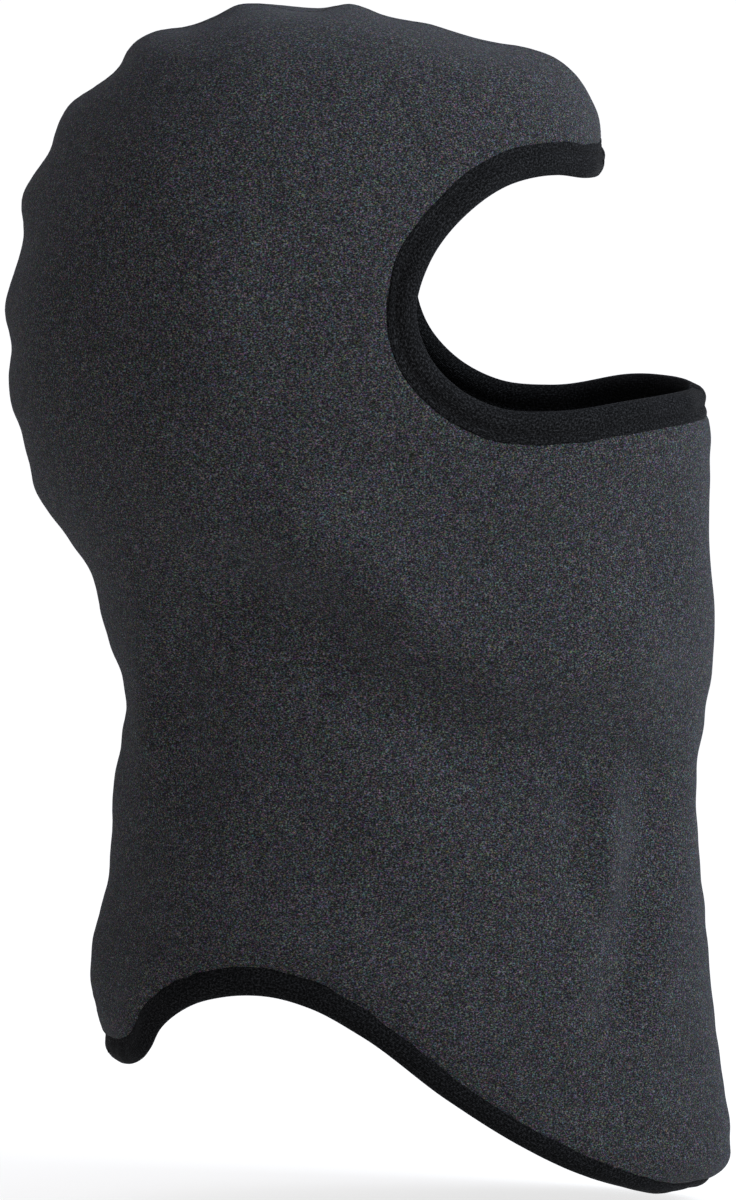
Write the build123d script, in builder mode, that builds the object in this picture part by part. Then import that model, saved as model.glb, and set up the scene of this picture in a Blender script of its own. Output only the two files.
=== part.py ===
"""Fleece balaclava: two side panels seamed over the crown and down the front, bound at face and hem.

Frame: the origin is the centre of the head cavity, +Z is up and the face looks along -Y,
so the wearer's right side is -X. Lengths are millimetres.
"""

from build123d import *

import os
from functools import cache

# Cloth
FLEECE = 3.0  # thickness of the fleece panels
BINDING = 1.3  # thickness of each layer of the folded jersey binding
BINDING_WIDTH = 10.0  # from the fold to the binding's sewn edge
STITCH_INSET = 2.5  # from the sewn edge to the stitch line
STITCH_WIDTH = 1.0
STITCH_RISE = 0.4

# Seams in the middle plane: both allowances turned inwards and edged together
ALLOWANCE = 6.0  # how far the allowances stand inside the panels
ALLOWANCE_THICKNESS = 2.2  # each allowance, pressed by the seam
OVERLOCK = 0.6  # thickness of the thread edging
OVERLOCK_DEPTH = 3.5  # how much of the allowances it covers
SEAM_END_GAP = 3.0  # the allowances stop this far from the bindings
BINDING_END_GAP = 1.0  # slot between the two ends of a binding
TACK_LENGTH = 7.0
TACK_HEIGHT = 2.0
TACK_FROM_FOLD = 4.0
TACK_RISE = 0.5

# Care label: a ribbon folded in two, its ends sewn into the back seam
LABEL_WIDTH = 24.0
LABEL_LENGTH = 22.0
LABEL_TOP = -150.0
LABEL_RIBBON = 0.5
LABEL_FOLD_GAP = 0.4
LABEL_STANDOFF = 0.2

# Half sizes of the head part, which set how a surface is offset above the origin
DOME_HEIGHT = 94.0
DOME_HALF_WIDTH = 81.0
DOME_FRONT = 102.0
DOME_BACK = 96.0

# Level sections of the hood: height, front, back, half width, and the y where it is widest
SECTIONS = [
    (94, -14, 22, 20, 4),
    (91.5, -25, 31, 32, 4),
    (88, -38, 41, 43, 5),
    (84, -53, 50, 51, 6),
    (80, -67, 57, 57, 7),
    (74, -80, 64, 62.5, 9),
    (66, -88, 71.5, 68, 12),
    (56, -92.5, 79.5, 73.5, 15),
    (44, -94.5, 86, 77, 17),
    (30, -97, 91.5, 79.5, 18),
    (12, -103, 95, 81, 19),
    (-8, -114, 97, 81, 18),
    (-28, -125.5, 96, 79.5, 15),
    (-45, -128, 92.5, 77.5, 10),
    (-62, -128, 86, 75, 4),
    (-80, -128, 77, 71.5, -3),
    (-98, -129.5, 68, 67.5, -9),
    (-116, -129, 62, 64.5, -14),
    (-134, -126.5, 60, 62.5, -17),
    (-155, -124.5, 62, 62, -18),
    (-178, -125, 65, 63.5, -18),
    (-200, -127, 68, 66, -17),
    (-218, -128.5, 69, 67.5, -15),
    (-236, -130.5, 66, 68.5, -14),
    (-254, -133, 61.5, 68, -14),
    (-268, -134.5, 58.5, 66.5, -15),
    (-278, -131, 56.5, 64.5, -16),
    (-286, -119, 55, 61, -16),
    (-292, -112, 54, 58, -16),
]

# Fold of the face binding in side view, from the brow round the cheek to the nose
FACE_EDGE = [
    (-91, 38.5),
    (-80, 42.5),
    (-65, 40.5),
    (-50, 31),
    (-39, 17),
    (-34.5, 1.5),
    (-38, -12),
    (-48, -23.5),
    (-61, -30),
    (-78, -31.5),
    (-103, -29),
    (-125, -26.5),
]
# Fold of the hem binding in side view, from the nape flap over the shoulder arch to the bib
HEM_EDGE = [
    (64, -246.5),
    (58, -242),
    (50, -232),
    (41, -223.5),
    (29, -219),
    (14, -218),
    (0, -221.5),
    (-16, -230),
    (-44, -251),
    (-74, -270),
    (-98, -281),
    (-120, -286),
]
OUTLINE_POINTS = 24  # spans of a moved outline
BEYOND = 160.0  # how far cutting outlines run past the hood
BOTTOM = -330.0


def offset_section(section, depth):
    """The section of the surface that lies depth inside the hood's outer one."""
    height, front, back, half_width, widest = section
    if height <= 0:
        return height, front + depth, back - depth, half_width - depth, widest
    return (
        height * (1 - depth / DOME_HEIGHT),
        front * (1 - depth / DOME_FRONT),
        back * (1 - depth / DOME_BACK),
        half_width * (1 - depth / DOME_HALF_WIDTH),
        widest,
    )


@cache
def hood(depth):
    """Solid inside the surface that lies depth inside the hood's outer one.

    Each level section is an egg of two half ellipses, which meet where it is widest.
    """
    with BuildPart() as solid:
        for section in SECTIONS:
            height, front, back, half_width, widest = offset_section(section, depth)
            with BuildSketch(Plane.XY.offset(height)):
                with BuildLine():
                    centre = (0, widest)
                    EllipticalCenterArc(centre, half_width, back - widest, 0, arc_size=180)
                    EllipticalCenterArc(centre, half_width, widest - front, 180, arc_size=180)
                make_face()
        loft()
    return solid.part


def side_outline(points, growth):
    """Smooth side-view curve through the points, moved this far to its left."""
    with BuildLine(mode=Mode.PRIVATE):
        base = Spline(*points)
    moved = []
    for i in range(OUTLINE_POINTS + 1):
        share = i / OUTLINE_POINTS
        place, direction = base @ share, base % share
        moved.append((place.X - growth * direction.Y, place.Y + growth * direction.X))
    return moved


def face_prism(growth):
    """Prism across the hood through the face opening, its outline grown from the fold."""
    edge = side_outline(FACE_EDGE, growth)
    with BuildPart() as prism:
        with BuildSketch(Plane.YZ):
            with BuildLine():
                Spline(*edge)
                Polyline(edge[0], (-BEYOND, edge[0][1]), (-BEYOND, edge[-1][1]), edge[-1])
            make_face()
        extrude(amount=BEYOND, both=True)
    return prism.part


def hem_prism(growth):
    """Prism across the hood below the hem, its outline raised from the fold."""
    edge = side_outline(HEM_EDGE, -growth)
    with BuildPart() as prism:
        with BuildSketch(Plane.YZ):
            with BuildLine():
                Spline(*edge)
                Polyline(
                    edge[0],
                    (BEYOND, edge[0][1]),
                    (BEYOND, BOTTOM),
                    (-BEYOND, BOTTOM),
                    (-BEYOND, edge[-1][1]),
                    edge[-1],
                )
            make_face()
        extrude(amount=BEYOND, both=True)
    return prism.part


def block(x_range, y_range=(-BEYOND, BEYOND), z_range=(BOTTOM, BEYOND)):
    """Block between these limits."""
    with BuildPart() as solid:
        with Locations((x_range[0], y_range[0], z_range[0])):
            Box(
                x_range[1] - x_range[0],
                y_range[1] - y_range[0],
                z_range[1] - z_range[0],
                align=(Align.MIN, Align.MIN, Align.MIN),
            )
    return solid.part


def layer(outer_depth, inner_depth):
    """Closed cloth layer between two offset surfaces."""
    with BuildPart() as cloth:
        add(hood(outer_depth))
        add(hood(inner_depth), mode=Mode.SUBTRACT)
    return cloth.part


def band(prism, near, far):
    """Prism across the hood between two growths of an opening's outline."""
    with BuildPart() as strip:
        add(prism(far))
        add(prism(near), mode=Mode.SUBTRACT)
    return strip.part


# Inner faces of the cloth layers, as depths inside the outer surface of the fleece
ALLOWANCE_DEPTH = FLEECE + ALLOWANCE
BINDING_OUTSIDE = -BINDING
BINDING_INSIDE = FLEECE + BINDING

# Stretches of the seams, each as its range of y and of z
SEAM_END = BINDING_WIDTH + SEAM_END_GAP
BROW, NOSE = FACE_EDGE[0], FACE_EDGE[-1]
NAPE, BIB = HEM_EDGE[0], HEM_EDGE[-1]
CROWN_SEAM = [
    ((-BEYOND, 0), (BROW[1] + SEAM_END, BEYOND)),
    ((0, BEYOND), (NAPE[1] + SEAM_END, BEYOND)),
]
FRONT_SEAM = [((-BEYOND, 0), (BIB[1] + SEAM_END, NOSE[1] - SEAM_END))]


def seam_strip(outer_depth, inner_depth, half_width, stretches):
    """Strip of a cloth layer along the middle plane, in these stretches."""
    with BuildPart() as reach:
        for y_range, z_range in stretches:
            add(block((-half_width, half_width), y_range, z_range))
    with BuildPart() as strip:
        add(layer(outer_depth, inner_depth))
        add(reach.part, mode=Mode.INTERSECT)
    return strip.part


# Side panels: a fleece shell with the allowances of both seams, cut apart in the middle plane
with BuildPart() as panels:
    add(layer(0, FLEECE))
    add(face_prism(BINDING), mode=Mode.SUBTRACT)
    add(hem_prism(BINDING), mode=Mode.SUBTRACT)
    for seam in (CROWN_SEAM, FRONT_SEAM):
        add(seam_strip(FLEECE / 2, ALLOWANCE_DEPTH, ALLOWANCE_THICKNESS, seam))

with BuildPart() as right_side_panel:
    add(panels.part)
    split(bisect_by=Plane.YZ, keep=Keep.BOTTOM)

with BuildPart() as left_side_panel:
    mirror(right_side_panel.part, about=Plane.YZ)


# Bindings: a jersey strip folded round the raw edge of both panels, its ends a slot apart
SLOT = (-BINDING_END_GAP / 2, BINDING_END_GAP / 2)
BROW_SLOT = block(SLOT, (-BEYOND, BROW[0] + 20), (BROW[1] - 10, BROW[1] + 20))
NAPE_SLOT = block(SLOT, (NAPE[0] - 20, BEYOND), (NAPE[1] - 10, NAPE[1] + 20))


def edge_binding(prism, end_slot):
    """Binding along the edge of this prism, round the panels."""
    with BuildPart() as strip:
        add(layer(BINDING_OUTSIDE, BINDING_INSIDE))
        add(band(prism, 0, BINDING_WIDTH), mode=Mode.INTERSECT)
        add(panels.part, mode=Mode.SUBTRACT)
        add(end_slot, mode=Mode.SUBTRACT)
    return strip.part


with BuildPart() as face_binding:
    add(edge_binding(face_prism, BROW_SLOT))

with BuildPart() as hem_binding:
    add(edge_binding(hem_prism, NAPE_SLOT))


# Stitch lines: one ribbon of thread on each side of a binding
STITCH_FAR = BINDING_WIDTH - STITCH_INSET
STITCH_NEAR = STITCH_FAR - STITCH_WIDTH


def thread_line(outer_depth, prism, end_slot):
    """Ribbon of thread along a binding, on the surface below outer_depth."""
    with BuildPart() as ribbon:
        add(layer(outer_depth, outer_depth + STITCH_RISE))
        add(band(prism, STITCH_NEAR, STITCH_FAR), mode=Mode.INTERSECT)
        add(end_slot, mode=Mode.SUBTRACT)
    return ribbon.part


with BuildPart() as face_binding_stitching:
    add(thread_line(BINDING_OUTSIDE - STITCH_RISE, face_prism, BROW_SLOT))
    add(thread_line(BINDING_INSIDE, face_prism, BROW_SLOT))

with BuildPart() as hem_binding_stitching:
    add(thread_line(BINDING_OUTSIDE - STITCH_RISE, hem_prism, NAPE_SLOT))
    add(thread_line(BINDING_INSIDE, hem_prism, NAPE_SLOT))


# Overlock: thread edging that holds each pair of allowances together
def overlock(seam):
    """Thread round the free edges of a seam's allowances."""
    with BuildPart() as thread:
        add(
            seam_strip(
                ALLOWANCE_DEPTH - OVERLOCK_DEPTH,
                ALLOWANCE_DEPTH + OVERLOCK,
                ALLOWANCE_THICKNESS + OVERLOCK,
                seam,
            )
        )
        add(panels.part, mode=Mode.SUBTRACT)
    return thread.part


with BuildPart() as crown_seam_overlock:
    add(overlock(CROWN_SEAM))

with BuildPart() as front_seam_overlock:
    add(overlock(FRONT_SEAM))


# Tacks: a bar of stitches across the two ends of a binding, outside and inside
def end_tack(binding, y_range, height):
    """Tack at this height across the ends of a binding."""
    reach = block(
        (-TACK_LENGTH / 2, TACK_LENGTH / 2),
        y_range,
        (height - TACK_HEIGHT / 2, height + TACK_HEIGHT / 2),
    )
    with BuildPart() as tack:
        add(layer(BINDING_OUTSIDE - TACK_RISE, BINDING_INSIDE + TACK_RISE))
        add(reach, mode=Mode.INTERSECT)
        add(binding, mode=Mode.SUBTRACT)
        add(panels.part, mode=Mode.SUBTRACT)
    return tack.part


with BuildPart() as brow_tack:
    add(end_tack(face_binding.part, (-BEYOND, 0), BROW[1] + TACK_FROM_FOLD))

with BuildPart() as nape_tack:
    add(end_tack(hem_binding.part, (0, BEYOND), NAPE[1] + TACK_FROM_FOLD))


# Care label: a blank ribbon folded in two against the inside of the right panel
LABEL_OUTER = FLEECE + LABEL_STANDOFF
LABEL_INNER = LABEL_OUTER + 2 * LABEL_RIBBON + LABEL_FOLD_GAP
LABEL_END = -ALLOWANCE_THICKNESS - LABEL_LENGTH
LABEL_Z = (LABEL_TOP - LABEL_WIDTH, LABEL_TOP)

with BuildPart() as label_fold_gap:
    add(layer(LABEL_OUTER + LABEL_RIBBON, LABEL_INNER - LABEL_RIBBON))
    add(
        block((LABEL_END + LABEL_RIBBON, -ALLOWANCE_THICKNESS), (0, BEYOND), LABEL_Z),
        mode=Mode.INTERSECT,
    )

with BuildPart() as care_label:
    add(layer(LABEL_OUTER, LABEL_INNER))
    add(
        block((LABEL_END, -ALLOWANCE_THICKNESS), (0, BEYOND), LABEL_Z),
        mode=Mode.INTERSECT,
    )
    add(label_fold_gap.part, mode=Mode.SUBTRACT)


PIECES = {
    "right_side_panel": right_side_panel,
    "left_side_panel": left_side_panel,
    "face_binding": face_binding,
    "hem_binding": hem_binding,
    "crown_seam_overlock": crown_seam_overlock,
    "front_seam_overlock": front_seam_overlock,
    "face_binding_stitching": face_binding_stitching,
    "hem_binding_stitching": hem_binding_stitching,
    "brow_tack": brow_tack,
    "nape_tack": nape_tack,
    "care_label": care_label,
}

os.makedirs("parts", exist_ok=True)
for name, piece in PIECES.items():
    piece.part.label = name
    export_step(piece.part, f"parts/{name}.step")
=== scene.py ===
"""Charcoal fleece balaclava with black jersey bindings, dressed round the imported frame.

The face looks along -Y, the wearer's right side is -X, +Z is up. Lengths are metres.
"""

import math

import bpy
import numpy as np
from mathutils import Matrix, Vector
from mathutils.kdtree import KDTree


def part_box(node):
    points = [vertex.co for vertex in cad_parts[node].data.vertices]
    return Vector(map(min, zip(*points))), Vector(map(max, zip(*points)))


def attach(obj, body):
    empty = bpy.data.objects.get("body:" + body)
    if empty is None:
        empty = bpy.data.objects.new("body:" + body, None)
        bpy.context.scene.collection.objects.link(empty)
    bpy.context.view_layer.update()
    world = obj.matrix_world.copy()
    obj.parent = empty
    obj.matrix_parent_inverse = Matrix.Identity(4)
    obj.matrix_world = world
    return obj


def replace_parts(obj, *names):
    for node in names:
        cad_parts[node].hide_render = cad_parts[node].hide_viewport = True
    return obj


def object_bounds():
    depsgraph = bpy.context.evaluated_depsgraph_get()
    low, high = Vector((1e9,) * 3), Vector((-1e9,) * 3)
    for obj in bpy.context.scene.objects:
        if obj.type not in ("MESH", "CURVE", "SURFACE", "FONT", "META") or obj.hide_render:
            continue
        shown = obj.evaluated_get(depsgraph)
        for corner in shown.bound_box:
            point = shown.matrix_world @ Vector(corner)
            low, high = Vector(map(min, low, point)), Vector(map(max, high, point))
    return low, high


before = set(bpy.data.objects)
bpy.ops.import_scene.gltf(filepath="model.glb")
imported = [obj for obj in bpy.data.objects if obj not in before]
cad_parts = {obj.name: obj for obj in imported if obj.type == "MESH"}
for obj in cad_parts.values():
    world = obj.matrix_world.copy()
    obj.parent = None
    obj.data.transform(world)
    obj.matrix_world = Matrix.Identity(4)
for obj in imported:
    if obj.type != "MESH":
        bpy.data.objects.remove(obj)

CAD_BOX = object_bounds()

# ---------------------------------------------------------------- sizes

FLEECE = 0.003  # thickness of the fleece
PRESSED = 0.0014  # thickness of the fleece where a binding or a seam holds it
# Distances from a fold over which the pressed cloth comes up to its full thickness
FACE_RISE = (0.0092, 0.0125)
HEM_RISE = (0.0080, 0.0108)
INSIDE_RISE = (0.0094, 0.0135)
BINDING_WIDTH = 0.0104  # from the fold to the binding's sewn edge
STITCH_FROM_FOLD = 0.0078
STITCH_PITCH = 0.0027
STITCH_LENGTH = 0.0021
STITCHES_FROM_END = 0.003
STITCH_RISE = -0.00010  # height of the stitches over the panel's surface, in the binding's groove
THREAD = 0.00022  # radius of the sewing thread
ALLOWANCE = 0.006  # how far the seam allowances stand inside the panels
ALLOWANCE_STARTS = 0.0115  # distance from a fold where the allowances begin to stand
ALLOWANCE_FULL = 0.020
SEAM_GAP = 0.00003  # from the middle plane to each panel's turned edge
SEAM_KINK = 0.0003  # sideways bend of both allowances just inside, which no light passes
OVERLOCK_PITCH = 0.0021
OVERLOCK_DEPTH = 0.0036
OVERLOCK_PAST = 0.0004  # how far the loops stand past the allowances' edges
OVERLOCK_ASIDE = 0.00035  # from the allowances' faces to the middle of the thread
OVERLOCK_CLEAR = 0.022  # how far from a fold the overlock stops
TURN_POINTS = 14
TURN_SQUARENESS = 3  # near 0 the loops are round, and higher they lie flatter on the cloth
NEEDLE_PITCH = 0.0024
BINDING_END_GAP = 0.00004  # from the middle plane to each end of a binding
TACK_HALF_LENGTH = 0.0032
TACK_HALF_HEIGHT = 0.0010
TACK_FROM_FOLD = 0.0044
TACK_RISE = 0.00108
TACK_PASSES = 15
TACK_STATIONS = 24  # stations either side of the seam that a tack can reach
LABEL_THICKNESS = 0.00035
LABEL_LIFT = 0.0014  # how far the label's folded end stands off the panel
LABEL_CUP = 0.0006
BROW_LEAN = 0.0016  # how far the edges of the cloth tip inwards where the seams end
NOSE_LEAN = 0.0018
NAPE_LEAN = 0.0009
BIB_SWELL = 0.0008  # how far the cloth swells out over the hem under the bib's seam
LEFT_LIFT = 0.0026  # how much higher the left edge of the opening rides beside the nose
# How far the fleece rolls over the hem binding: distance forward of the middle, and cover
HEM_COVER = np.array((
    (-0.060, 0.0000), (-0.020, 0.0000), (0.000, 0.0006), (0.030, 0.0022),
    (0.060, 0.0036), (0.090, 0.0038), (0.115, 0.0029), (0.150, 0.0029),
))

# Level sections of the hood: height, front, back, half width, and the y where it is widest
SECTIONS = np.array((
    (0.0940, -0.0140, 0.0220, 0.0200, 0.0040),
    (0.0915, -0.0250, 0.0310, 0.0320, 0.0040),
    (0.0880, -0.0380, 0.0410, 0.0430, 0.0050),
    (0.0840, -0.0530, 0.0500, 0.0510, 0.0060),
    (0.0800, -0.0670, 0.0570, 0.0570, 0.0070),
    (0.0740, -0.0800, 0.0640, 0.0625, 0.0090),
    (0.0660, -0.0880, 0.0715, 0.0680, 0.0120),
    (0.0560, -0.0925, 0.0795, 0.0735, 0.0150),
    (0.0440, -0.0945, 0.0860, 0.0770, 0.0170),
    (0.0300, -0.0970, 0.0915, 0.0795, 0.0180),
    (0.0120, -0.1030, 0.0950, 0.0810, 0.0190),
    (-0.0080, -0.1140, 0.0970, 0.0810, 0.0180),
    (-0.0280, -0.1255, 0.0960, 0.0795, 0.0150),
    (-0.0450, -0.1280, 0.0925, 0.0775, 0.0100),
    (-0.0620, -0.1280, 0.0860, 0.0750, 0.0040),
    (-0.0800, -0.1280, 0.0770, 0.0715, -0.0030),
    (-0.0980, -0.1295, 0.0680, 0.0675, -0.0090),
    (-0.1160, -0.1290, 0.0620, 0.0645, -0.0140),
    (-0.1340, -0.1265, 0.0600, 0.0625, -0.0170),
    (-0.1550, -0.1245, 0.0620, 0.0620, -0.0180),
    (-0.1780, -0.1250, 0.0650, 0.0635, -0.0180),
    (-0.2000, -0.1270, 0.0680, 0.0660, -0.0170),
    (-0.2180, -0.1285, 0.0690, 0.0675, -0.0150),
    (-0.2360, -0.1305, 0.0660, 0.0685, -0.0140),
    (-0.2540, -0.1330, 0.0615, 0.0680, -0.0140),
    (-0.2680, -0.1345, 0.0585, 0.0665, -0.0150),
    (-0.2780, -0.1310, 0.0565, 0.0645, -0.0160),
    (-0.2860, -0.1190, 0.0550, 0.0610, -0.0160),
    (-0.2920, -0.1120, 0.0540, 0.0580, -0.0160),
))
APEX = 0.0956  # height where the sections close over the crown
APEX_Y = 0.004

# Folds of the two bindings in side view, without their end points, which lie on the seams
FACE_FOLD = (
    (-0.0895, 0.0407), (-0.0800, 0.0425), (-0.0650, 0.0405), (-0.0500, 0.0310),
    (-0.0390, 0.0170), (-0.0345, 0.0015), (-0.0380, -0.0120), (-0.0480, -0.0235), (-0.0610, -0.0300),
    (-0.0780, -0.0315), (-0.1030, -0.0290),
)
HEM_FOLD = (
    (0.0590, -0.2436), (0.0553, -0.2413), (0.0526, -0.2376), (0.0492, -0.2308), (0.0440, -0.2255),
    (0.0375, -0.2214), (0.0290, -0.2188), (0.0140, -0.2180), (0.0000, -0.2215), (-0.0160, -0.2300),
    (-0.0440, -0.2510), (-0.0740, -0.2700), (-0.0980, -0.2812), (-0.1110, -0.2850),
)
# Heights of the folds' end points
BROW_Z = 0.0404
NOSE_Z = -0.0268
NAPE_Z = -0.2443
BIB_Z = -0.2842

# How the crown and back seam draws the cloth up: place along the seam from the brow, and height
SEAM_WAVES = np.array((
    (0.000, 0.0000), (0.012, -0.0004), (0.028, 0.0012), (0.045, 0.0020), (0.066, -0.0009),
    (0.082, 0.0000), (0.097, -0.0010), (0.109, 0.0004), (0.119, -0.0031), (0.143, 0.0004),
    (0.160, -0.0017), (0.175, 0.0019), (0.191, -0.0019), (0.210, 0.0018), (0.223, -0.0009),
    (0.240, 0.0013), (0.253, -0.0021), (0.276, 0.0007), (0.289, -0.0014), (0.305, 0.0006),
    (0.316, -0.0010), (0.336, 0.0011), (0.367, -0.0027), (0.387, 0.0007), (0.404, -0.0014),
    (0.434, 0.0009), (0.467, -0.0013), (0.495, 0.0015), (0.513, -0.0009), (0.540, -0.0004),
))
# Soft folds in side view: their line, height and half width
FOLDS = (
    (((0.017, -0.091), (0.002, -0.101), (-0.019, -0.122), (-0.062, -0.143), (-0.092, -0.145)),
     -0.0064, 0.017),
    (((-0.001, -0.070), (-0.016, -0.080), (-0.037, -0.101), (-0.062, -0.112), (-0.098, -0.110)),
     0.0056, 0.016),
    (((-0.055, -0.073), (-0.080, -0.076), (-0.106, -0.073)), -0.0018, 0.010),
    (((0.030, -0.085), (0.005, -0.130), (-0.010, -0.180)), -0.0024, 0.018),
    (((0.050, -0.100), (0.052, -0.118), (0.051, -0.140)), 0.0020, 0.006),
    (((0.042, -0.104), (0.041, -0.122), (0.038, -0.150)), -0.0024, 0.008),
    (((-0.1115, -0.150), (-0.1070, -0.184), (-0.0980, -0.222)), -0.0050, 0.0092),
    (((-0.0975, -0.156), (-0.0955, -0.186)), 0.0017, 0.0065),
    (((-0.0860, -0.158), (-0.0870, -0.184)), -0.0024, 0.0065),
    (((-0.104, -0.247), (-0.120, -0.242)), -0.0008, 0.005),
    (((0.055, -0.040), (0.030, -0.070), (0.010, -0.080)), 0.0018, 0.012),
    (((0.040, -0.190), (-0.010, -0.200), (-0.060, -0.235)), 0.0016, 0.011),
    (((0.055, 0.045), (0.030, 0.020), (0.025, -0.015)), 0.0014, 0.014),
)

NET_ROWS = 64  # of the coarse net that is relaxed before the fine one is drawn through it
NET_COLUMNS = 44
NET_ROUNDS = 5000
ROWS = 560  # face to hem
COLUMNS = 210  # crown seam to front seam
STATIONS = 260  # along each side of a binding
LINE_POINTS = 1500  # by which a line's length is measured
GAUGE_POINTS = 1200  # of each seam and fold, from which distances over the cloth are taken
MARCH_STEP = 0.0003  # longest single step when rows are laid out from a fold
RIPPLE_WAVES = 9
SIDES = {"right": -1, "left": 1}


# ---------------------------------------------------------------- numbers to curves

def smooth(x, knots, values):
    """Cubic Hermite curve through given values."""
    slope = np.gradient(values, knots, axis=0)
    i = np.clip(np.searchsorted(knots, x) - 1, 0, len(knots) - 2)
    wide = (...,) + (None,) * (values.ndim - 1)
    gap = (knots[i + 1] - knots[i])[wide]
    u = (x - knots[i])[wide] / gap
    rise = u * u * (3 - 2 * u)
    start = u * (1 - u) ** 2 * gap * slope[i]
    end = u * u * (u - 1) * gap * slope[i + 1]
    return values[i] * (1 - rise) + values[i + 1] * rise + start + end


def step(x, low, high):
    """0 below low, 1 above high, smooth between."""
    u = np.clip((x - low) / (high - low), 0, 1)
    return u * u * (3 - 2 * u)


def bell(x, width):
    """1 at zero, falling smoothly away over a half width."""
    return np.exp(-(x / width) ** 2)


def lengths(points):
    """Running length along the first axis."""
    steps = np.linalg.norm(np.diff(points, axis=0), axis=-1)
    return np.concatenate([np.zeros_like(steps[:1]), np.cumsum(steps, axis=0)])


def sampled(where, run, field):
    """Vectors given along a run, read at other places of the run."""
    return np.stack([np.interp(where, run, field[:, k]) for k in range(3)], axis=-1)


def unit(vectors):
    """Vectors brought to unit length along the last axis."""
    return vectors / np.maximum(np.linalg.norm(vectors, axis=-1, keepdims=True), 1e-12)


def ripple(place, seed, shortest, longest):
    """Uneven waves of unit size along one or more coordinates."""
    rng = np.random.default_rng(seed)
    total = np.zeros(place.shape[:-1])
    for _ in range(RIPPLE_WAVES):
        heading = rng.normal(size=place.shape[-1])
        heading /= np.linalg.norm(heading)
        wavelength = rng.uniform(shortest, longest)
        phase = rng.uniform(0, 2 * math.pi)
        total += np.sin(place @ heading * 2 * math.pi / wavelength + phase)
    return total / math.sqrt(RIPPLE_WAVES / 2)


# ---------------------------------------------------------------- the hood's surface

# The sections are spaced by the root of their drop from the apex, which keeps the crown round
DROP = np.concatenate([[0], np.sqrt(APEX - SECTIONS[:, 0])])
FRONT = np.concatenate([[APEX_Y], SECTIONS[:, 1]])
BACK = np.concatenate([[APEX_Y], SECTIONS[:, 2]])
HALF_WIDTH = np.concatenate([[0], SECTIONS[:, 3]])
WIDEST = np.concatenate([[APEX_Y], SECTIONS[:, 4]])


def seam_line(drop):
    """Middle-plane outline (y, z): negative drops run down the front, positive ones down the back."""
    y = np.where(drop < 0, smooth(abs(drop), DROP, FRONT), smooth(abs(drop), DROP, BACK))
    return np.stack([y, APEX - drop ** 2], axis=-1)


def square_width(y, z):
    """Squared distance of the surface from the middle plane, negative outside its outline."""
    drop = np.sqrt(np.maximum(APEX - z, 0))
    widest = smooth(drop, DROP, WIDEST)
    front = widest - smooth(drop, DROP, FRONT)
    back = smooth(drop, DROP, BACK) - widest
    reach = np.maximum(np.where(y < widest, front, back), 1e-4)
    return smooth(drop, DROP, HALF_WIDTH) ** 2 * (1 - ((y - widest) / reach) ** 2)


def slope_at(points):
    """Gradient of the level function x * x - square_width, which points out of the hood."""
    x, y, z = points[..., 0], points[..., 1], points[..., 2]
    nudge = 1e-5
    along_y = (square_width(y + nudge, z) - square_width(y - nudge, z)) / (2 * nudge)
    along_z = (square_width(y, z + nudge) - square_width(y, z - nudge)) / (2 * nudge)
    return np.stack([2 * x, -along_y, -along_z], axis=-1)


def settle(points):
    """Points moved squarely onto the hood's surface."""
    for _ in range(3):
        slope = slope_at(points)
        level = points[..., 0] ** 2 - square_width(points[..., 1], points[..., 2])
        points = points - slope * (level / np.maximum((slope ** 2).sum(axis=-1), 1e-9))[..., None]
    return points


def even(line):
    """Evenly spaced places for a parametric line over 0..1, as a function of the share of its length."""
    u = np.linspace(0, 1, LINE_POINTS)
    run = lengths(line(u))
    return lambda share: line(np.interp(share * run[-1], run, u))


def seam_between(start, end):
    """The stretch of the middle-plane outline between two drops."""
    return even(lambda u: seam_line(start + (end - start) * u))


def fold_through(start, points, end):
    """Smooth fold line in side view through its points."""
    knots = np.array([start, *points, end])
    run = lengths(knots) / lengths(knots)[-1]
    return even(lambda u: np.stack([smooth(u, run, knots[:, k]) for k in (0, 1)], axis=-1))


def drop_to(z):
    """Root of the drop from the apex to a height."""
    return math.sqrt(APEX - z)


CROWN_SEAM = seam_between(-drop_to(BROW_Z), drop_to(NAPE_Z))
FRONT_SEAM = seam_between(-drop_to(NOSE_Z), -drop_to(BIB_Z))
FACE = fold_through(CROWN_SEAM(0.0), FACE_FOLD, FRONT_SEAM(0.0))
HEM = fold_through(CROWN_SEAM(1.0), HEM_FOLD, FRONT_SEAM(1.0))


def spaced(count):
    """Column places from seam to seam: even round the hood and closer together beside the seams."""
    u = np.linspace(0, 1, count)
    u = u - 0.55 * np.sin(2 * math.pi * u) / (2 * math.pi)
    return (1 - np.cos(math.pi * u)) / 2


def frame_lines(s, t):
    """The four edges of a panel in side view: crown seam, front seam, face fold and hem fold."""
    return CROWN_SEAM(s)[:, None], FRONT_SEAM(s)[:, None], FACE(t)[None], HEM(t)[None]


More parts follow.
